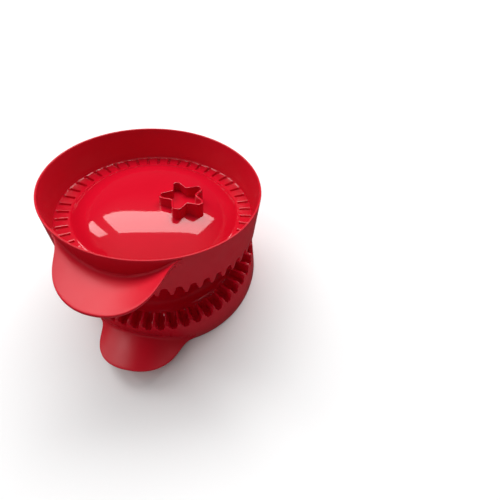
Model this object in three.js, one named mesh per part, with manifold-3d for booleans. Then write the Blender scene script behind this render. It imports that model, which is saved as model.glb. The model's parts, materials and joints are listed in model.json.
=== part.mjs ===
// Hinged hand-pie press: two mirrored red plastic halves joined by a pin at the back.
// Millimetres, +Z up. The lower half stands on its rim at z = 0, thumb tabs point to -Y, and the
// origin is under the middle of the whole press.
// Each half is drawn with its parting plane at z = 0 and its rim at z = HALF_H, then placed.
import * as THREE from 'three';
import { mergeVertices } from 'three/addons/utils/BufferGeometryUtils.js';
import Module from 'manifold-3d';

const wasm = await Module();
wasm.setup();

// ---- driving dimensions -------------------------------------------------------------
const RIM_R = 60;            // outer radius of the cutting rim
const HALF_H = 28.6;         // rim plane to parting plane
const PART_R = 58;           // outer radius of the wall at the parting plane
const RIM_W = 1.1;           // width of the cutting rim
const WALL = 2.1;            // wall and plate thickness
const GAP = 0.15;            // each half stops this far short of the parting plane
const RING_IN = 48.9;        // inner ends of the crimping ridges
const RING_BACK = 9.5;       // back of the crimping ring above the parting plane
const FLUTES = 48;           // valleys round the ring
const VALLEY_Z = 7.4;        // valley depth inside the ring
const NOTCH_Z = 5.5;         // valley depth where it breaks through the wall
const GROOVE_Z = 8.2;        // floor of the grooves on the back of the ring
const FOOT_R = 47.2;         // foot of the domed plate on the back
const CROWN_Z = 23.0;        // height of the middle of the dome, back face
const TAB_TIP = 82.3;        // tab tip from the centre
const STAR = {
  x: 17.9, y: -4.7, petal: 9.75, round: 3.0, flank: 72, notchCut: 0.6, wall: 1.1, top: 28.1,
};
const HINGE_Y = 64;          // hinge axis behind the centre, at the parting plane
const KNUCKLE_R = 3.6;
const BORE_R = 1.8;
const PIN_R = 1.5;
const KNUCKLE_IN = 7.0;      // half length of the middle knuckle
const KNUCKLE_OUT = 14.4;    // outer end of the side knuckles
const OPEN_DEG = 16.7;       // opening at rest
const SEG = 48;              // facets round the body
const PITCH = (2 * Math.PI) / FLUTES;

// ---- solids ---------------------------------------------------------------------------
function solid(geometry) {
  const g = geometry.clone();
  g.deleteAttribute('normal');
  g.deleteAttribute('uv');
  const m = mergeVertices(g, 1e-5);
  return new wasm.Manifold(new wasm.Mesh({
    numProp: 3,
    vertProperties: new Float32Array(m.attributes.position.array),
    triVerts: new Uint32Array(m.index.array),
  }));
}

function geometryOf(manifold) {
  const mesh = manifold.getMesh();
  const g = new THREE.BufferGeometry();
  g.setAttribute('position', new THREE.BufferAttribute(new Float32Array(mesh.vertProperties), 3));
  g.setIndex(new THREE.BufferAttribute(new Uint32Array(mesh.triVerts), 1));
  g.computeVertexNormals();
  return g;
}

// closed solid from rings of equal point counts, capped at both ends
function loft(rings) {
  const n = rings[0].length;
  const pos = rings.flat(2);
  const idx = [];
  for (let i = 0; i + 1 < rings.length; i++) {
    for (let j = 0; j < n; j++) {
      const a = i * n + j, b = i * n + ((j + 1) % n), c = a + n, d = b + n;
      idx.push(a, b, d, a, d, c);
    }
  }
  const last = (rings.length - 1) * n;
  for (let j = 1; j + 1 < n; j++) {
    idx.push(0, j + 1, j);
    idx.push(last, last + j, last + j + 1);
  }
  const g = new THREE.BufferGeometry();
  g.setAttribute('position', new THREE.Float32BufferAttribute(pos, 3));
  g.setIndex(signedVolume(pos, idx) < 0 ? idx.reverse() : idx);
  return g;
}

// negative where the faces of a mesh look inwards
function signedVolume(pos, idx) {
  const v = (i) => new THREE.Vector3().fromArray(pos, 3 * i);
  let sum = 0;
  for (let i = 0; i < idx.length; i += 3) {
    sum += v(idx[i]).dot(v(idx[i + 1]).cross(v(idx[i + 2])));
  }
  return sum / 6;
}

// body turned about Z from a closed list of [radius, height]
function turned(profile, segments = SEG) {
  const pts = profile.map(([r, z]) => new THREE.Vector2(r, z));
  const g = new THREE.LatheGeometry(pts, segments);
  g.rotateX(Math.PI / 2);
  g.rotateZ(Math.PI / 2);
  return g;
}

function extrudeX(shape, x0, x1) {
  const g = new THREE.ExtrudeGeometry(shape, { depth: x1 - x0, bevelEnabled: false, curveSegments: 10 });
  g.rotateX(Math.PI / 2);
  g.rotateZ(Math.PI / 2);
  return g.translate(x0, 0, 0);
}

// ---- body of one half -------------------------------------------------------------------
// back face of the domed plate: flat on top, falling ever more steeply to its foot
function domeZ(r) {
  return RING_BACK + (CROWN_Z - RING_BACK) * (1 - (r / FOOT_R) ** 3);
}

// the dome a distance below its back face, measured square to the plate
function domeLine(below, edge, steps = 6) {
  const line = [];
  for (let i = steps; i >= 0; i--) {
    const r = (edge * i) / steps;
    const slope = (3 * (CROWN_Z - RING_BACK) * r ** 2) / FOOT_R ** 3;
    line.push([r, domeZ(r) - below * Math.hypot(1, slope)]);
  }
  return line;
}

function bodyProfile() {
  const under = domeLine(WALL, FOOT_R - 0.7).reverse();
  return [
    ...under,
    [RING_IN, GAP],
    [PART_R, GAP],
    [RIM_R, HALF_H],
    [RIM_R - RIM_W, HALF_H],
    [56.3, 11.4],
    [55.4, RING_BACK + 0.1],
    ...domeLine(0, FOOT_R),
  ];
}

// one ring of a radial cutter: [share of the pitch, height] pairs mirrored to both sides
function cutterRing(radius, half) {
  const place = (share, z, side) => {
    const a = side * share * PITCH;
    return [radius * Math.sin(a), -radius * Math.cos(a), z];
  };
  const left = half.map(([s, z]) => place(s, z, -1));
  const right = half.map(([s, z]) => place(s, z, 1)).reverse();
  return [...left, ...right];
}

function valleyCutter() {
  const inside = [[0.45, -1], [0.22, VALLEY_Z]];
  const mouth = [[0.48, -1], [0.14, NOTCH_Z]];
  return loft([cutterRing(45.4, inside), cutterRing(53.8, inside), cutterRing(60, mouth)]);
}

function grooveCutter() {
  const ring = (r0, r1) => [[0.17, RING_BACK + 1.5, r0], [0.08, GROOVE_Z, r1]];
  const make = (r0, r1) => {
    const left = ring(r0, r1).map(([s, z, r]) => [-r * Math.sin(s * PITCH), -r * Math.cos(s * PITCH), z]);
    const right = ring(r0, r1).map(([s, z, r]) => [r * Math.sin(s * PITCH), -r * Math.cos(s * PITCH), z]);
    return [...left, ...right.reverse()];
  };
  return loft([make(48.4, 49.2), make(55.7, 55.3)]);
}

function around(cutter, phase) {
  const list = [];
  for (let i = 0; i < FLUTES; i++) list.push(solid(cutter.clone().rotateZ((i + phase) * PITCH)));
  return list.reduce((all, one) => all.add(one));
}

// ---- thumb tab -----------------------------------------------------------------------------
function tabHalfWidth(s) {
  const table = [[48, 31.2], [51.6, 31.2], [57.7, 27.2], [63.9, 25.3], [70.0, 22.9],
    [76.2, 17.8], [80.2, 10.9], [TAB_TIP, 2.5]];
  for (let i = 1; i < table.length; i++) {
    if (s <= table[i][0]) {
      const [s0, w0] = table[i - 1], [s1, w1] = table[i];
      return w0 + ((w1 - w0) * (s - s0)) / (s1 - s0);
    }
  }
  return 2.5;
}

// the tab is a shallow trough: level along its middle, rising to the rim at both sides
function tabTop(s, w) {
  const bend = (0.7 - 0.0075 * (s - 51.6)) / RIM_R;
  return Math.min(17.16 - 0.087 * (s - 51.6) + bend * w * w, HALF_H - 1.2);
}

function tabSheet() {
  const stations = [48, 54.6, 57.7, 63.9, 70.0, 76.2, 78.4, 80.2, 81.5, TAB_TIP];
  const rings = stations.map((s) => {
    const half = tabHalfWidth(s);
    const top = [], bottom = [];
    for (let k = -4; k <= 4; k++) {
      const w = (half * k) / 4;
      top.push([w, -s, tabTop(s, w)]);
      bottom.push([w, -s, tabTop(s, w) - 1.8]);
    }
    return [...top, ...bottom.reverse()];
  });
  return solid(loft(rings));
}

function insideWall() {
  const slope = (58.9 - 56.3) / (HALF_H - 11.4);
  const r = (z) => 56.3 + 0.4 + slope * (z - 11.4);
  return solid(turned([[0, 6], [r(6), 6], [r(45), 45], [0, 45]]));
}

// ---- star cutter ------------------------------------------------------------------------------
// five round petals, one towards the tab; straight flanks meet in soft notches between them
function starOutline(petalRound, notchCut) {
  const flank = THREE.MathUtils.degToRad(STAR.flank);
  const half = Math.PI / 5;
  const notch = (STAR.petal * Math.cos(flank) + petalRound) / Math.cos(flank - half);
  const at = (r, a) => new THREE.Vector2(r * Math.cos(a), r * Math.sin(a));
  const shape = new THREE.Shape();
  for (let i = 0; i < 5; i++) {
    const a = -Math.PI / 2 + 2 * half * i;
    const middle = at(STAR.petal, a);
    const leave = middle.clone().add(at(petalRound, a + flank));
    const next = at(STAR.petal, a + 2 * half).add(at(petalRound, a + 2 * half - flank));
    const corner = at(notch, a + half);
    const p = corner.clone().add(leave.clone().sub(corner).setLength(notchCut));
    const q = corner.clone().add(next.clone().sub(corner).setLength(notchCut));
    shape.absarc(middle.x, middle.y, petalRound, a - flank, a + flank, false);
    shape.lineTo(p.x, p.y);
    shape.quadraticCurveTo(corner.x, corner.y, q.x, q.y);
  }
  shape.closePath();
  return shape;
}

function starWall() {
  const shape = starOutline(STAR.round, STAR.notchCut);
  shape.holes.push(starOutline(STAR.round - STAR.wall, STAR.notchCut));
  const g = new THREE.ExtrudeGeometry(shape, { depth: STAR.top - 8, bevelEnabled: false, curveSegments: 4 });
  g.translate(STAR.x, STAR.y, 8);
  const under = solid(turned([[0, 4], [FOOT_R - 1, 4], ...domeLine(1.0, FOOT_R - 1)], 24));
  return solid(g).subtract(under);
}

// ---- hinge ----------------------------------------------------------------------------------------
function knuckle(x0, x1) {
  const g = new THREE.CylinderGeometry(KNUCKLE_R, KNUCKLE_R, x1 - x0, 20);
  g.rotateZ(Math.PI / 2);
  return solid(g.translate((x0 + x1) / 2, HINGE_Y, 0));
}

function hingeArm(x0, x1) {
  const shape = new THREE.Shape();
  [[56.3, 0.8], [HINGE_Y - 0.5, 0.8], [HINGE_Y + 2.0, 2.9], [59.4, 12.6], [56.3, 12.6]]
    .forEach(([y, z], i) => (i ? shape.lineTo(y, z) : shape.moveTo(y, z)));
  return solid(extrudeX(shape, x0, x1)).subtract(insideWall());
}

function hingeBore() {
  const g = new THREE.CylinderGeometry(BORE_R, BORE_R, 40, 16);
  g.rotateZ(Math.PI / 2);
  return solid(g.translate(0, HINGE_Y, 0));
}

// ---- one half ------------------------------------------------------------------------------------------
function pressHalf(knuckles, withStar) {
  let body = solid(turned(bodyProfile()))
    .subtract(around(valleyCutter(), 0))
    .subtract(around(grooveCutter(), 0.5))
    .add(tabSheet().subtract(insideWall()));
  for (const [x0, x1] of knuckles) body = body.add(knuckle(x0, x1)).add(hingeArm(x0, x1));
  body = body.subtract(hingeBore());
  return geometryOf(withStar ? body.add(starWall()) : body);
}

// the same half turned over through its parting plane, faces kept outwards
function mirrored(geometry) {
  geometry.scale(1, 1, -1);
  geometry.setIndex([...geometry.index.array].reverse());
  geometry.computeVertexNormals();
  return geometry;
}

function hingePin() {
  const end = KNUCKLE_OUT + 0.4;
  const g = new THREE.LatheGeometry([
    [0, -end - 1.4], [2.0, -end - 1.4], [2.6, -end - 0.8], [2.6, -end], [PIN_R, -end],
    [PIN_R, end - 0.5], [PIN_R - 0.4, end], [0, end],
  ].map(([r, y]) => new THREE.Vector2(r, y)), 16);
  g.rotateZ(Math.PI / 2);
  return g.translate(0, HINGE_Y, HALF_H);
}

// ---- nodes ------------------------------------------------------------------------------------------------
const plastic = (name, hex) => Object.assign(new THREE.MeshStandardMaterial({ color: hex, roughness: 0.25 }), { name });

function node(name, geometry, material) {
  const mesh = new THREE.Mesh(geometry, material);
  mesh.name = name;
  return mesh;
}

const lower = mirrored(pressHalf(
  [[-KNUCKLE_OUT, -KNUCKLE_IN - 0.4], [KNUCKLE_IN + 0.4, KNUCKLE_OUT]], false));
lower.translate(0, 0, HALF_H);

const upper = pressHalf([[-KNUCKLE_IN, KNUCKLE_IN]], true);
upper.translate(0, -HINGE_Y, 0);

const group = new THREE.Group();
group.name = 'hand_pie_press';
group.add(node('lower_half', lower, plastic('red_plastic_lower', 0xc8102e)));
const lid = new THREE.Group();
lid.position.set(0, HINGE_Y, HALF_H);
lid.rotation.x = -THREE.MathUtils.degToRad(OPEN_DEG);
lid.add(node('upper_half', upper, plastic('red_plastic_upper', 0xc8102e)));
group.add(lid);
group.add(node('hinge_pin', hingePin(), plastic('red_plastic_pin', 0xb00c26)));

const box = new THREE.Box3().setFromObject(group, true);
group.position.set(0, -(box.min.y + box.max.y) / 2, 0);

export default group;
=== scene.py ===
"""Hinged hand-pie press: two moulded red plastic halves on a pin, standing a little open."""

import json
from math import atan2, cos, exp, hypot, pi, radians, sin, sqrt

import bmesh
import bpy
from mathutils import Euler, Matrix, Vector


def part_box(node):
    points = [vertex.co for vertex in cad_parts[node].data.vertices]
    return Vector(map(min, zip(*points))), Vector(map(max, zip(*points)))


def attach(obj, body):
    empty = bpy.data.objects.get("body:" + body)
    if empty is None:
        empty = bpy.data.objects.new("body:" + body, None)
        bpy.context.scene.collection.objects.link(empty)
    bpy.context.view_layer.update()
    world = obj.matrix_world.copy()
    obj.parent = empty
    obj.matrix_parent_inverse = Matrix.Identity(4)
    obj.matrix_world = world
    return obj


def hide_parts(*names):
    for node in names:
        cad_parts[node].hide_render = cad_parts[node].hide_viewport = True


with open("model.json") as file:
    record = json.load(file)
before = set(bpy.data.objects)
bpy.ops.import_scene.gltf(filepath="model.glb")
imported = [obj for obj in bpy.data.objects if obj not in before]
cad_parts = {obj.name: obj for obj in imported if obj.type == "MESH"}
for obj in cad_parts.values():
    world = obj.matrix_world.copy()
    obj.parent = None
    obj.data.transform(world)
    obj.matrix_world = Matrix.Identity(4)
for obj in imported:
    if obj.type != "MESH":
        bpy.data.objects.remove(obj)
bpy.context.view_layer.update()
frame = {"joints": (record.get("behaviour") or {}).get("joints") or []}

# ---- sizes, in millimetres; each half is drawn with its parting plane at z = 0 -------------
MM = 0.001
hinge = frame["joints"][0]
lower_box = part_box("lower_half")
pin_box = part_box("hinge_pin")
RIM_R = lower_box[1].x / MM                 # outer radius of the cutting rim
HINGE_BACK = 64.0                           # hinge axis behind the centre of the body
CENTRE_Y = hinge["pos_m"][1] / MM - HINGE_BACK   # where the centre of the body lies
TAB_TIP = CENTRE_Y - lower_box[0].y / MM    # tip of the thumb tab from the centre
HALF_H = hinge["pos_m"][2] / MM             # rim plane to parting plane
OPEN_DEG = -hinge["range_deg"][0]           # how far the press stands open
PIN_LEFT = pin_box[0].x / MM
PIN_RIGHT = pin_box[1].x / MM

PART_GAP = 0.15       # each half stops this far short of the parting plane
PART_R = 58.0         # outer radius of the wall at the parting plane
RIM_W = 1.1           # width of the cutting rim
WALL = 2.1            # thickness of wall and plate
FLUTES = 48           # valleys round the crimping ring
PITCH = 2 * pi / FLUTES
RING_IN = 48.9        # inner ends of the crimping ridges
RING_BACK = 9.5       # back of the crimping ring
FOOT_R = 47.2         # foot of the domed plate
DOME_END = 46.3       # where the dome turns into the soft corner at its foot
VALLEY_DEEP = 7.4     # depth of the valleys inside the ring
MOUTH_DEEP = 5.5      # depth of the arch where a valley breaks through the wall
VALLEY_FROM, VALLEY_TO = 45.4, 53.8   # ends of the straight stretch of a valley
VALLEY_HALF = 0.45    # half its width at the parting plane, in pitches
ARCH_ROUND = 1.05     # rounding of its upper corners
GROOVE_FLOOR = 8.2    # floor of the grooves behind the ridges
GROOVE_FROM, GROOVE_TO = 48.7, 55.8
GROOVE_HALF = 0.17    # half their width, in pitches
GROOVE_ROUND = 0.4
CROWN_Z = 23.0        # top of the dome
FLUTE_ROUND = 0.42    # rounding of the flute edges
SATIN_FROM = 56.4     # the walls outside this radius are textured, the rest is polished
TAB_THICK = 1.8
TAB_HIGH = HALF_H - 1.3   # where the sides of the tab stop below the rim
TAB_FILLET = 1.3      # where the tab runs into the wall
TAB_END = (33.5, 48.5)   # where its edge ends inside the wall, sideways and forwards
STAR_AT = (17.9, -4.7)   # middle of the star on the back of the upper half
PETAL_OUT = 9.75      # middles of the star's petals from its own middle
PETAL_R = 3.0         # radius of the petals' round tips
PETAL_FLANK = radians(72)   # how far round its tip each petal is a circle
NOTCH_CUT = 0.6       # rounding of the notches between the petals
STAR_WALL = 1.1
STAR_TOP = 28.1       # cutting edge of the star above the parting plane
KNUCKLE_R = 3.6
BORE_R = 1.8
PIN_R = 1.5
HEAD_R = 2.6
HEAD_THICK = 1.4
KNUCKLE_IN = 7.0      # half length of the middle knuckle
KNUCKLE_OUT = 14.4    # outer ends of the side knuckles
KNUCKLE_SPACE = 0.4   # between one knuckle and the next
ARM_FROM, ARM_TO = 56.3, HINGE_BACK - 0.5   # a hinge arm at its foot, from the axis
ARM_LOW, ARM_HIGH = 0.8, 12.6
ARM_HIGH_TO = 59.4    # and at its top, where it meets the wall
SMOOTH_BELOW = radians(32)   # faces that meet more gently than this are shaded as one


# ---- working by hand -----------------------------------------------------------------------
def pick(piece):
    """Make one piece the only selected and active one."""
    if bpy.context.object and bpy.context.object.mode != "OBJECT":
        bpy.ops.object.mode_set(mode="OBJECT")
    bpy.ops.object.select_all(action="DESELECT")
    piece.select_set(True)
    bpy.context.view_layer.objects.active = piece


def start_editing(piece):
    pick(piece)
    bpy.ops.object.mode_set(mode="EDIT")
    bpy.ops.mesh.select_mode(type="VERT")


def stop_editing():
    bpy.ops.object.mode_set(mode="OBJECT")


def grab(piece, inside, kind="VERT"):
    """In edit mode, select the vertices, edges or faces that lie wholly inside a region."""
    bpy.ops.mesh.select_mode(type=kind)
    bpy.ops.mesh.select_all(action="DESELECT")
    mesh = bmesh.from_edit_mesh(piece.data)
    if kind == "VERT":
        for v in mesh.verts:
            v.select_set(inside(v.co))
    else:
        for item in (mesh.edges if kind == "EDGE" else mesh.faces):
            item.select_set(all(inside(v.co) for v in item.verts))
    mesh.select_flush_mode()
    bmesh.update_edit_mesh(piece.data)


def name_new(name):
    piece = bpy.context.object
    piece.name = name
    piece.data.name = name
    return piece


def apply_modifier(piece, kind, **settings):
    modifier = piece.modifiers.new(kind, kind)
    for key, value in settings.items():
        setattr(modifier, key, value)
    pick(piece)
    bpy.ops.object.modifier_apply(modifier=modifier.name)


def combine(piece, other, operation):
    """Join another closed piece on, or cut it away, and throw it away."""
    apply_modifier(piece, "BOOLEAN", operation=operation, solver="EXACT", object=other)
    bpy.data.objects.remove(other)


def turn_normals_out(piece):
    start_editing(piece)
    bpy.ops.mesh.select_all(action="SELECT")
    bpy.ops.mesh.remove_doubles(threshold=0.002)
    bpy.ops.mesh.normals_make_consistent(inside=False)
    stop_editing()


def copy_of(piece, name):
    """A copy with its own mesh."""
    twin = piece.copy()
    twin.data = piece.data.copy()
    twin.name = name
    twin.data.name = name
    bpy.context.scene.collection.objects.link(twin)
    return twin


def draw_line(name, points):
    """An open chain of edges, drawn point by point from one corner of the first to the last."""
    bpy.ops.object.select_all(action="DESELECT")
    bpy.ops.mesh.primitive_plane_add(size=1)
    piece = name_new(name)
    start_editing(piece)
    bpy.ops.mesh.select_all(action="SELECT")
    bpy.ops.mesh.merge(type="CENTER")
    bpy.ops.transform.translate(value=points[0])
    for before, after in zip(points, points[1:]):
        step = Vector(after) - Vector(before)
        bpy.ops.mesh.extrude_region_move(TRANSFORM_OT_translate={"value": step})
    stop_editing()
    return piece


# ---- the round body: one flute is modelled, then copied all round --------------------------
def dome_height(radius):
    """Back face of the plate: flat in the middle, falling ever more steeply to its foot."""
    return RING_BACK + (CROWN_Z - RING_BACK) * (1 - (radius / FOOT_R) ** 3)


def dome_underside(radius):
    slope = 3 * (CROWN_Z - RING_BACK) * radius ** 2 / FOOT_R ** 3
    return dome_height(radius) - WALL * hypot(1, slope)


def arc(centre, radius, start, end, steps):
    """Points of a fillet in the section plane, angles in degrees."""
    turns = [radians(start + (end - start) * i / steps) for i in range(steps + 1)]
    return [(centre[0] + radius * cos(t), centre[1] + radius * sin(t)) for t in turns]


def body_section():
    """Radius and height down the back face, over the rim, down the outside and back under."""
    dome = [(r, dome_height(r)) for r in [DOME_END * i / 24 for i in range(25)]]
    dome_foot = [(46.9, 9.82), (47.5, 9.59), (48.1, RING_BACK)]
    wall_foot = [(54.9, RING_BACK), *arc((55.0, 10.7), 1.2, -80, -8, 4)]
    inner_wall = [(56.75, 14.4), (57.6, 20.0), (RIM_R - RIM_W, HALF_H)]
    outer_wall = [(RIM_R, HALF_H), (59.3, 18.6), (58.65, 9.3), (PART_R, PART_GAP)]
    ring_front = [(RING_IN, PART_GAP)]
    under_edge = FOOT_R - 0.7
    under = [(r, dome_underside(r)) for r in [under_edge * i / 20 for i in range(20, -1, -1)]]
    return dome + dome_foot + wall_foot + inner_wall + outer_wall + ring_front + under


def at_angle(radius, angle, z):
    """A point round the axis, angle 0 being the front."""
    return (radius * sin(angle), -radius * cos(angle), z)


def wedge_of_body():
    """A 15 degree wedge of the plain body, two flutes wide, turned from its section."""
    wedge = draw_line("body", [at_angle(r, PITCH, z) for r, z in body_section()])
    start_editing(wedge)
    bpy.ops.mesh.select_all(action="SELECT")
    bpy.ops.mesh.edge_face_add()
    bpy.ops.mesh.spin(steps=8, angle=2 * PITCH, center=(0, 0, 0), axis=(0, 0, 1))
    bpy.ops.mesh.select_all(action="SELECT")
    bpy.ops.mesh.remove_doubles(threshold=0.001)
    bpy.ops.mesh.normals_make_consistent(inside=False)
    stop_editing()
    return wedge


def block(name, x, y, z):
    """A box between two x, two y and two z."""
    bpy.ops.object.select_all(action="DESELECT")
    middle = [(a + b) / 2 for a, b in (x, y, z)]
    size = [b - a for a, b in (x, y, z)]
    bpy.ops.mesh.primitive_cube_add(size=1, location=middle, scale=size)
    piece = name_new(name)
    bpy.ops.object.transform_apply(location=True, rotation=True, scale=True)
    return piece


def narrow(share, middle=(0, 0, 0)):
    """Scale what is selected sideways, about the plane through the middle of the press."""
    bpy.ops.transform.resize(value=(share, 1, 1), center_override=middle)


def valley_cutter():
    """The space between two crimping ridges: flat bottomed inside, an arch through the wall."""
    half = VALLEY_HALF * PITCH * VALLEY_FROM
    top_share, mouth_share, arch_share = 0.49, 1.2, 0.6
    past_wall = 60.5
    cutter = block("valley", (-half, half), (-VALLEY_TO, -VALLEY_FROM), (-1, VALLEY_DEEP))
    start_editing(cutter)
    grab(cutter, lambda p: p.z > 0)
    narrow(top_share)
    grab(cutter, lambda p: p.y < 1 - VALLEY_TO, "FACE")
    narrow(VALLEY_TO / VALLEY_FROM)
    bpy.ops.mesh.extrude_region_move(
        TRANSFORM_OT_translate={"value": (0, VALLEY_TO - past_wall, 0)})
    narrow(mouth_share)
    grab(cutter, lambda p: p.y < 0.5 - past_wall and p.z > 0)
    narrow(arch_share)
    bpy.ops.transform.translate(value=(0, 0, MOUTH_DEEP - VALLEY_DEEP))
    grab(cutter, lambda p: p.z > 0, "EDGE")
    mesh = bmesh.from_edit_mesh(cutter.data)
    for edge in mesh.edges:
        along = abs(edge.verts[0].co.y - edge.verts[1].co.y) > 1
        edge.select_set(edge.select and along)
    bmesh.update_edit_mesh(cutter.data)
    bpy.ops.mesh.bevel(offset=ARCH_ROUND, segments=5, affect="EDGES")
    stop_editing()
    return cutter


def groove_cutter():
    """The space behind a crimping ridge, cut from the back of the ring."""
    half = GROOVE_HALF * PITCH * 52
    floor_share, floor_length, middle = 0.5, 0.86, -52.6
    cutter = block("groove", (-half, half), (-GROOVE_TO, -GROOVE_FROM),
                   (GROOVE_FLOOR, RING_BACK + 1.5))
    start_editing(cutter)
    grab(cutter, lambda p: p.z < RING_BACK)
    bpy.ops.transform.resize(
        value=(floor_share, floor_length, 1), center_override=(0, middle, 0))
    grab(cutter, lambda p: p.y < -53)
    narrow(1.12)
    grab(cutter, lambda p: p.z < RING_BACK, "EDGE")
    bpy.ops.mesh.bevel(offset=GROOVE_ROUND, segments=3, affect="EDGES")
    stop_editing()
    return cutter


def round_flute_edges(wedge):
    """Soften every sharp edge of the wedge between its two end faces."""
    start_editing(wedge)
    bpy.ops.mesh.select_mode(type="EDGE")
    bpy.ops.mesh.select_all(action="DESELECT")
    bpy.ops.mesh.edges_select_sharp(sharpness=SMOOTH_BELOW)
    mesh = bmesh.from_edit_mesh(wedge.data)
    for edge in mesh.edges:
        ends = [v.co for v in edge.verts]
        inner = all(hypot(p.x, p.y) > 40 and abs(p.x) < -p.y * sin(0.97 * PITCH) for p in ends)
        edge.select_set(edge.select and inner)
    bmesh.update_edit_mesh(wedge.data)
    bpy.ops.mesh.bevel(
        offset=FLUTE_ROUND, segments=3, affect="EDGES", clamp_overlap=False)
    stop_editing()


def slice_off(piece, normal):
    """Keep what lies behind a plane through the axis."""
    start_editing(piece)
    bpy.ops.mesh.select_all(action="SELECT")
    bpy.ops.mesh.bisect(
        plane_co=(0, 0, 0), plane_no=normal, clear_outer=True, threshold=0.0005)
    stop_editing()


def round_body():
    body = wedge_of_body()
    combine(body, valley_cutter(), "DIFFERENCE")
    for side in (-1, 1):
        groove = groove_cutter()
        groove.rotation_euler.z = side * PITCH / 2
        pick(groove)
        bpy.ops.object.transform_apply(location=True, rotation=True, scale=True)
        combine(body, groove, "DIFFERENCE")
    round_flute_edges(body)
    slice_off(body, (-1, 0, 0))
    slice_off(body, (cos(PITCH / 2), sin(PITCH / 2), 0))
    apply_modifier(body, "MIRROR", use_axis=(True, False, False), merge_threshold=0.001)
    start_editing(body)
    bpy.ops.mesh.select_all(action="SELECT")
    bpy.ops.mesh.normals_make_consistent(inside=False)
    bpy.ops.mesh.spin(
        steps=FLUTES - 1, dupli=True, angle=2 * pi - PITCH, center=(0, 0, 0), axis=(0, 0, 1))
    bpy.ops.mesh.select_all(action="SELECT")
    bpy.ops.mesh.remove_doubles(threshold=0.002)
    bpy.ops.mesh.delete_loose(use_verts=True, use_edges=True, use_faces=False)
    stop_editing()
    turn_normals_out(body)
    return body


# ---- thumb tab -----------------------------------------------------------------------------
def tab_half_width(s):
    """Half the width of the tab at a distance s from the axis: a lobe that flares at the wall."""
    lobe = max(0.0, 1 - (max(s - 56.5, 0) / (TAB_TIP - 56.5)) ** 2.3) ** (1 / 2.3)
    return 25.6 * lobe + 5.6 * exp((51.6 - s) / 5) * min(1, (TAB_TIP - s) / 8)


def tab_outline(count):
    """Points (w, s) from the middle of the tip round to the wall, evenly spaced."""
    wall_end = 51.0
    distances = [TAB_TIP - (TAB_TIP - wall_end) * (i / 400) ** 2 for i in range(401)]
    dense = [(tab_half_width(s), s) for s in distances]
    dense.append(TAB_END)
    run = [0.0]
    for (w0, s0), (w1, s1) in zip(dense, dense[1:]):
        run.append(run[-1] + hypot(w1 - w0, s1 - s0))
    points = []
    at = 0
    for k in range(count + 1):
        goal = run[-1] * k / count
        while at < len(run) - 2 and run[at + 1] < goal:
            at += 1
        t = (goal - run[at]) / (run[at + 1] - run[at])
        (w0, s0), (w1, s1) = dense[at], dense[at + 1]
        points.append((w0 + (w1 - w0) * t, s0 + (s1 - s0) * t))
    return points


def soft_lowest(a, b, blend):
    """The lower of two heights, with a rounded change from one to the other."""
    h = max(blend - abs(a - b), 0) / blend
    return min(a, b) - h * h * blend / 4


def tab_height(w, s):
    """Trough of the tab: level along its middle, rising to the rim at both sides."""
    bend = (0.7 - 0.0075 * (s - 51.6)) / RIM_R
    return soft_lowest(17.16 - 0.087 * (s - 51.6) + bend * w * w, TAB_HIGH, 2.0)


def thumb_tab():
    """A sheet between the wall and the outline, drawn out of a grid and thickened downwards."""
    across, out = 72, 22
    in_wall = 58.2        # the sheet starts inside the wall, this far from the axis
    under_fillet = 1.6
    bpy.ops.object.select_all(action="DESELECT")
    bpy.ops.mesh.primitive_grid_add(x_subdivisions=across, y_subdivisions=out, size=2)
    tab = name_new("tab")
    start_editing(tab)
    bpy.ops.mesh.select_all(action="SELECT")
    bpy.ops.mesh.extrude_region_move(TRANSFORM_OT_translate={"value": (0, 0, -1)})
    stop_editing()
    edge = tab_outline(across // 2)
    wall_turn = atan2(*TAB_END)
    for v in tab.data.vertices:
        column = round(abs(v.co.x) * across / 2)
        side = -1 if v.co.x < 0 else 1
        t = ((1 - v.co.y) / 2) ** 1.6
        turn = wall_turn * column / (across // 2)
        w0, s0 = in_wall * sin(turn), in_wall * cos(turn)
        w1, s1 = edge[column]
        w, s = w0 + (w1 - w0) * t, s0 + (s1 - s0) * t
        z = tab_height(w, s)
        away = hypot(w, s) - (PART_R + (RIM_R - PART_R) * z / HALF_H)
        top = v.co.z > -0.5
        fillet = min(TAB_FILLET, TAB_HIGH - z) if top else under_fillet
        near = max(0.0, fillet - max(away, 0)) if fillet > 0 else 0
        rise = fillet - sqrt(max(fillet * fillet - near * near, 0)) if near else 0
        v.co = (side * w, -s, z + rise if top else z - TAB_THICK - rise)
    turn_normals_out(tab)
    start_editing(tab)
    bpy.ops.mesh.select_mode(type="EDGE")
    bpy.ops.mesh.select_all(action="DESELECT")
    bpy.ops.mesh.edges_select_sharp(sharpness=radians(60))
    mesh = bmesh.from_edit_mesh(tab.data)
    for item in mesh.edges:
        free = all(hypot(v.co.x, v.co.y) > RIM_R + 0.6 for v in item.verts)
        item.select_set(item.select and free)
    bmesh.update_edit_mesh(tab.data)
    bpy.ops.mesh.bevel(offset=0.55, segments=3, affect="EDGES", clamp_overlap=False)
    stop_editing()
    return tab


# ---- star cutter ---------------------------------------------------------------------------
def rounded_corner(before, corner, after, cut, steps):
    """Points of the soft curve that replaces a corner, starting and ending a cut away from it."""
    start = corner + (before - corner).normalized() * cut
    end = corner + (after - corner).normalized() * cut
    curve = []
    for i in range(steps + 1):
        t = i / steps
        curve.append(start * (1 - t) ** 2 + corner * 2 * t * (1 - t) + end * t ** 2)
    return curve


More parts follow.
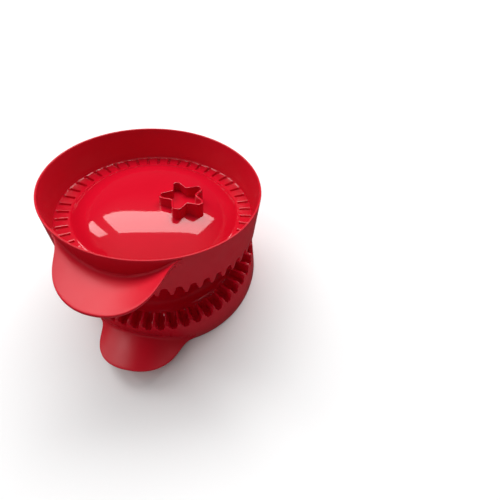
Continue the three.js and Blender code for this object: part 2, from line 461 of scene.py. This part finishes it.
def star_outline():
    """Five full round petals, one towards the tab, with straight flanks and tight notches."""
    half = pi / 5
    middle = Vector((*STAR_AT, STAR_TOP))
    turns = [PETAL_FLANK * k / 8 for k in range(-8, 9)]

    def out(distance, angle):
        return distance * Vector((sin(angle), -cos(angle), 0))

    notch = (PETAL_OUT * cos(PETAL_FLANK) + PETAL_R) / cos(PETAL_FLANK - half)
    outline = []
    for i in range(5):
        axis = 2 * half * i
        tip = middle + out(PETAL_OUT, axis)
        outline += [tip + out(PETAL_R, axis + turn) for turn in turns]
        corner = middle + out(notch, axis + half)
        next_axis = axis + 2 * half
        after = middle + out(PETAL_OUT, next_axis) + out(PETAL_R, next_axis - PETAL_FLANK)
        outline += rounded_corner(outline[-1], corner, after, NOTCH_CUT, 5)
    return outline


def star_cutter():
    """A thin upright wall round the star outline, standing in the dome, its rim rounded."""
    outline = star_outline()
    star = draw_line("star", outline + outline[:1])
    start_editing(star)
    bpy.ops.mesh.select_all(action="SELECT")
    bpy.ops.mesh.remove_doubles(threshold=0.001)
    bpy.ops.mesh.extrude_region_move(TRANSFORM_OT_translate={"value": (0, 0, -20)})
    bpy.ops.mesh.select_all(action="SELECT")
    bpy.ops.mesh.normals_make_consistent(inside=False)
    stop_editing()
    apply_modifier(star, "SOLIDIFY", thickness=STAR_WALL, offset=-1, use_even_offset=True)
    start_editing(star)
    grab(star, lambda p: p.z > STAR_TOP - 1, "FACE")
    bpy.ops.mesh.region_to_loop()
    bpy.ops.mesh.bevel(offset=0.3, segments=3, affect="EDGES", clamp_overlap=False)
    stop_editing()
    for v in star.data.vertices:
        if v.co.z < STAR_TOP - 10:
            v.co.z = dome_height(hypot(v.co.x, v.co.y)) - WALL / 2
    turn_normals_out(star)
    return star


# ---- hinge ---------------------------------------------------------------------------------
def rod(name, radius, x0, x1, bevel):
    """A round rod along X on the hinge axis, its ends chamfered."""
    bpy.ops.object.select_all(action="DESELECT")
    bpy.ops.mesh.primitive_cylinder_add(
        vertices=40, radius=radius, depth=x1 - x0, location=((x0 + x1) / 2, HINGE_BACK, 0),
        rotation=(0, radians(90), 0))
    piece = name_new(name)
    bpy.ops.object.transform_apply(location=True, rotation=True, scale=True)
    if bevel:
        apply_modifier(piece, "BEVEL", width=bevel, segments=3,
                       limit_method="ANGLE", angle_limit=radians(60))
    return piece


def hinge_leaf(x0, x1):
    """One knuckle and the arm that carries it from the wall."""
    arm = block("arm", (x0, x1), (ARM_FROM, ARM_TO), (ARM_LOW, ARM_HIGH))
    start_editing(arm)
    grab(arm, lambda p: p.y > 60 and p.z > 6)
    bpy.ops.transform.translate(value=(0, ARM_HIGH_TO - ARM_TO, 0))
    grab(arm, lambda p: p.y > 57, "FACE")
    bpy.ops.mesh.inset(thickness=0.01)
    bpy.ops.transform.translate(value=(0, 0.6, 0.4))
    stop_editing()
    apply_modifier(arm, "BEVEL", width=0.6, segments=3,
                   limit_method="ANGLE", angle_limit=radians(50))
    combine(arm, rod("knuckle", KNUCKLE_R, x0, x1, 0.4), "UNION")
    return arm


def cavity_of_bowl():
    """The space inside the wall, from the crimping ring outwards, kept clear by the hinge arms."""
    points = [(0, 8), (55.5, 8), (56.9, 14.4), (57.8, 20),
              (59.1, HALF_H + 0.3), (59.1, 40), (0, 40)]
    space = draw_line("bowl_space", [(r, 0, z) for r, z in points])
    start_editing(space)
    bpy.ops.mesh.select_all(action="SELECT")
    bpy.ops.mesh.spin(steps=96, angle=2 * pi, center=(0, 0, 0), axis=(0, 0, 1))
    stop_editing()
    turn_normals_out(space)
    return space


# ---- the two halves ------------------------------------------------------------------------
def settle(piece, place):
    """Give the piece its place in metres, kept in its mesh, and smooth faces that look out."""
    piece.matrix_world = place @ Matrix.Scale(MM, 4)
    pick(piece)
    bpy.ops.object.transform_apply(location=True, rotation=True, scale=True)
    start_editing(piece)
    bpy.ops.mesh.select_all(action="SELECT")
    bpy.ops.mesh.normals_make_consistent(inside=False)
    stop_editing()
    bpy.ops.object.shade_smooth_by_angle(angle=SMOOTH_BELOW)


def press_half(name, body, extras, knuckles):
    """One moulding: the round body with its tab, its knuckles and whatever else stands on it."""
    half = copy_of(body, name)
    for extra in extras:
        combine(half, extra, "UNION")
    for x0, x1 in knuckles:
        leaf = hinge_leaf(x0, x1)
        combine(leaf, cavity_of_bowl(), "DIFFERENCE")
        combine(half, leaf, "UNION")
    combine(half, rod("bore", BORE_R, -20, 20, 0), "DIFFERENCE")
    return half


def hinge_pin():
    """A plain pin with a low round head at its left end."""
    pin = rod("pin", PIN_R, PIN_LEFT, PIN_RIGHT, 0.3)
    head = rod("pin_head", HEAD_R, PIN_LEFT, PIN_LEFT + HEAD_THICK, 0.35)
    combine(pin, head, "UNION")
    return pin


# ---- materials -----------------------------------------------------------------------------
def linear(hex_colour):
    """An sRGB hex colour as the linear colour that a shader takes."""
    parts = [int(hex_colour[i:i + 2], 16) / 255 for i in (0, 2, 4)]
    return (*[c / 12.92 if c <= 0.04045 else ((c + 0.055) / 1.055) ** 2.4 for c in parts], 1.0)


def add_node(tree, kind, settings, inputs):
    """Add a node; an input is a value, or another node's output to link."""
    node = tree.nodes.new(kind)
    for key, value in settings.items():
        setattr(node, key, value)
    for key, value in inputs.items():
        if isinstance(value, bpy.types.NodeSocket):
            tree.links.new(value, node.inputs[key])
        else:
            node.inputs[key].default_value = value
    return node


FLOW_MM = 34          # width of the streaks where the melt flowed
UNEVEN_MM = 9         # width of the duller and glossier places


def moulded_red(name, pigment, thin, rough, grain_mm, grain_depth_mm, sheen=0.5):
    """A plastic dyed through: the pigment drifts a little where the melt flowed, the gloss is a
    touch uneven, and the mould's own grain breaks up the reflections. Sizes are real ones."""
    material = bpy.data.materials.new(name)
    material.use_nodes = True
    tree = material.node_tree
    tree.nodes.clear()
    place = add_node(tree, "ShaderNodeTexCoord", {}, {}).outputs["Object"]
    flow = add_node(tree, "ShaderNodeTexNoise", {}, {
        "Vector": place, "Scale": 1 / (FLOW_MM * MM), "Detail": 3.0,
        "Roughness": 0.5, "Distortion": 0.6})
    colour = add_node(tree, "ShaderNodeMix", {"data_type": "RGBA"}, {
        0: flow.outputs["Fac"], 6: linear(pigment), 7: linear(thin)})
    wear = add_node(tree, "ShaderNodeTexNoise", {}, {
        "Vector": place, "Scale": 1 / (UNEVEN_MM * MM), "Detail": 4.0, "Roughness": 0.6})
    gloss = add_node(tree, "ShaderNodeMapRange", {}, {
        "Value": wear.outputs["Fac"], "From Min": 0.3, "From Max": 0.7,
        "To Min": rough[0], "To Max": rough[1]})
    grain = add_node(tree, "ShaderNodeTexNoise", {}, {
        "Vector": place, "Scale": 1 / (grain_mm * MM), "Detail": 2.0, "Roughness": 0.5})
    relief = add_node(tree, "ShaderNodeBump", {}, {
        "Height": grain.outputs["Fac"], "Strength": 1.0, "Distance": grain_depth_mm * MM})
    shader = add_node(tree, "ShaderNodeBsdfPrincipled", {}, {
        "Base Color": colour.outputs[2], "Roughness": gloss.outputs["Result"],
        "Normal": relief.outputs["Normal"], "IOR": 1.49, "Specular IOR Level": sheen})
    add_node(tree, "ShaderNodeOutputMaterial", {}, {"Surface": shader.outputs["BSDF"]})
    return material


# ---- put together --------------------------------------------------------------------------
# Polished mould faces: the window is mirrored sharply, wavering by a few hundredths of a degree.
polished = moulded_red(
    "glossy injection-moulded polypropylene", "c40820", "cd0e28", (0.04, 0.08), 6.0, 0.006)
# Spark-textured mould faces: a soft even sheen over half-millimetre grain, no mirror image.
satin = moulded_red(
    "spark-textured polypropylene", "c40f22", "cc142a", (0.28, 0.36), 0.5, 0.03, 0.25)
# Turned rod: a little darker than the mouldings, with dull highlights along it.
pin_red = moulded_red("turned acetal pin", "a80c1c", "b41224", (0.25, 0.35), 0.7, 0.02)

body = round_body()
body.data.materials.append(polished)
body.data.materials.append(satin)
for face in body.data.polygons:
    if hypot(face.center.x, face.center.y) > SATIN_FROM:
        face.material_index = 1
tab = thumb_tab()
tab.data.materials.append(polished)
tab.data.materials.append(satin)
for face in tab.data.polygons:
    face.material_index = 1
body_with_tab = copy_of(body, "body_with_tab")
combine(body_with_tab, tab, "UNION")

side_knuckle = KNUCKLE_IN + KNUCKLE_SPACE
lower = press_half("lower_press", body_with_tab, [],
                   [(-KNUCKLE_OUT, -side_knuckle), (side_knuckle, KNUCKLE_OUT)])
upper = press_half("upper_press", body_with_tab, [star_cutter()], [(-KNUCKLE_IN, KNUCKLE_IN)])
pin = hinge_pin()
pin.data.materials.append(pin_red)
bpy.data.objects.remove(body)
bpy.data.objects.remove(body_with_tab)

upright = Matrix.Translation(Vector((0, CENTRE_Y, HALF_H)) * MM)
back_to_hinge = Matrix.Translation(Vector((0, HINGE_BACK, 0)) * MM)
settle(lower, upright @ Matrix.Scale(-1, 4, (0, 0, 1)))
swing = back_to_hinge @ Matrix.Rotation(radians(-OPEN_DEG), 4, "X") @ back_to_hinge.inverted()
settle(upper, upright @ swing)
settle(pin, upright)

for piece, body_name, node in ((lower, "lower", "lower_half"), (upper, "upper", "upper_half"),
                               (pin, "lower", "hinge_pin")):
    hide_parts(node)
    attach(piece, body_name)

# ---- floor, light and camera ---------------------------------------------------------------
bpy.ops.object.select_all(action="DESELECT")
bpy.ops.mesh.primitive_plane_add(size=6, location=(0, 0, -0.0002))
floor = name_new("floor")
floor_paint = bpy.data.materials.new("matt white paint")
floor_paint.use_nodes = True
paint = floor_paint.node_tree.nodes["Principled BSDF"].inputs
paint["Base Color"].default_value = linear("f4f4f4")
paint["Roughness"].default_value = 0.9
floor.data.materials.append(floor_paint)


LOOK_AT = Vector((0, CENTRE_Y, 50)) * MM
FAR = 2.5             # metres from the press to its lights
WINDOW_WHITE = 6.0    # brightness of a window pane, with white paper at 1


def soft_light(name, place, facing, roll, size, white):
    """A rectangle of light as bright as a given white; place and size count in distances."""
    data = bpy.data.lights.new(name, "AREA")
    data.shape = "RECTANGLE"
    data.size, data.size_y = size[0] * FAR, size[1] * FAR
    data.energy = pi * data.size * data.size_y * white
    light = bpy.data.objects.new(name, data)
    bpy.context.scene.collection.objects.link(light)
    light.location = LOOK_AT + FAR * place
    turn = facing.to_track_quat("Z", "Y").to_matrix() @ Matrix.Rotation(radians(roll), 3, "Z")
    light.rotation_euler = turn.to_euler()
    return light


LEAN = Vector((-0.161, 0.913, 0.375))      # from the press square to the leaning window wall
ALONG = Vector((0.985, 0.174, 0.0))        # level along that wall
UP_WALL = Vector((0.065, -0.369, 0.927))   # up its slope
PANE_ROLL = 7                              # the panes hang a little off level, in degrees
window_at = LEAN - 0.04 * ALONG + 0.60 * UP_WALL
side_pane_at = LEAN - 1.50 * ALONG + 0.70 * UP_WALL
soft_light("window", window_at, LEAN, PANE_ROLL, (1.67, 0.69), WINDOW_WHITE)
soft_light("side_pane", side_pane_at, LEAN, PANE_ROLL, (0.5, 0.75), WINDOW_WHITE)

# a large dim panel on the left; it and the floor light the press but are not mirrored in it
overhead = Vector((-0.7, -0.2, 0.8))
ceiling = soft_light("ceiling", overhead, overhead, 0, (1.2, 1.2), 0.55)
ceiling.visible_glossy = False
floor.visible_glossy = False

world = bpy.data.worlds.new("dim room, lighter overhead")
bpy.context.scene.world = world
world.use_nodes = True
room = world.node_tree
room.nodes.clear()
direction = add_node(room, "ShaderNodeTexCoord", {}, {}).outputs["Generated"]
height = add_node(room, "ShaderNodeSeparateXYZ", {}, {"Vector": direction}).outputs["Z"]
glow = add_node(room, "ShaderNodeMapRange", {}, {
    "Value": height, "From Min": 0.35, "From Max": 0.85, "To Min": 0.05, "To Max": 0.42})
backdrop_white = 0.9   # the room is pale where it is seen directly
to_camera = add_node(room, "ShaderNodeLightPath", {}, {}).outputs["Is Camera Ray"]
shown = add_node(room, "ShaderNodeMix", {"data_type": "FLOAT"}, {
    0: to_camera, 2: glow.outputs["Result"], 3: backdrop_white}).outputs[0]
walls = add_node(room, "ShaderNodeBackground", {}, {"Color": (1, 1, 1, 1), "Strength": shown})
add_node(room, "ShaderNodeOutputWorld", {}, {"Surface": walls.outputs["Background"]})

bpy.context.scene.view_settings.view_transform = "Standard"

# held by hand above the front right of the press, looking down at it
camera_data = bpy.data.cameras.new("camera")
camera_data.lens = 27.56
camera_data.shift_x = -0.0242
camera_data.shift_y = 0.0756
camera_data.clip_start = 0.01
camera = bpy.data.objects.new("camera", camera_data)
camera.location = Vector((76.76, CENTRE_Y - 115.09, 247.84)) * MM
camera.rotation_euler = Euler((radians(23.741), radians(-2.992), radians(11.142)), "XYZ")
bpy.context.scene.collection.objects.link(camera)
bpy.context.scene.camera = camera
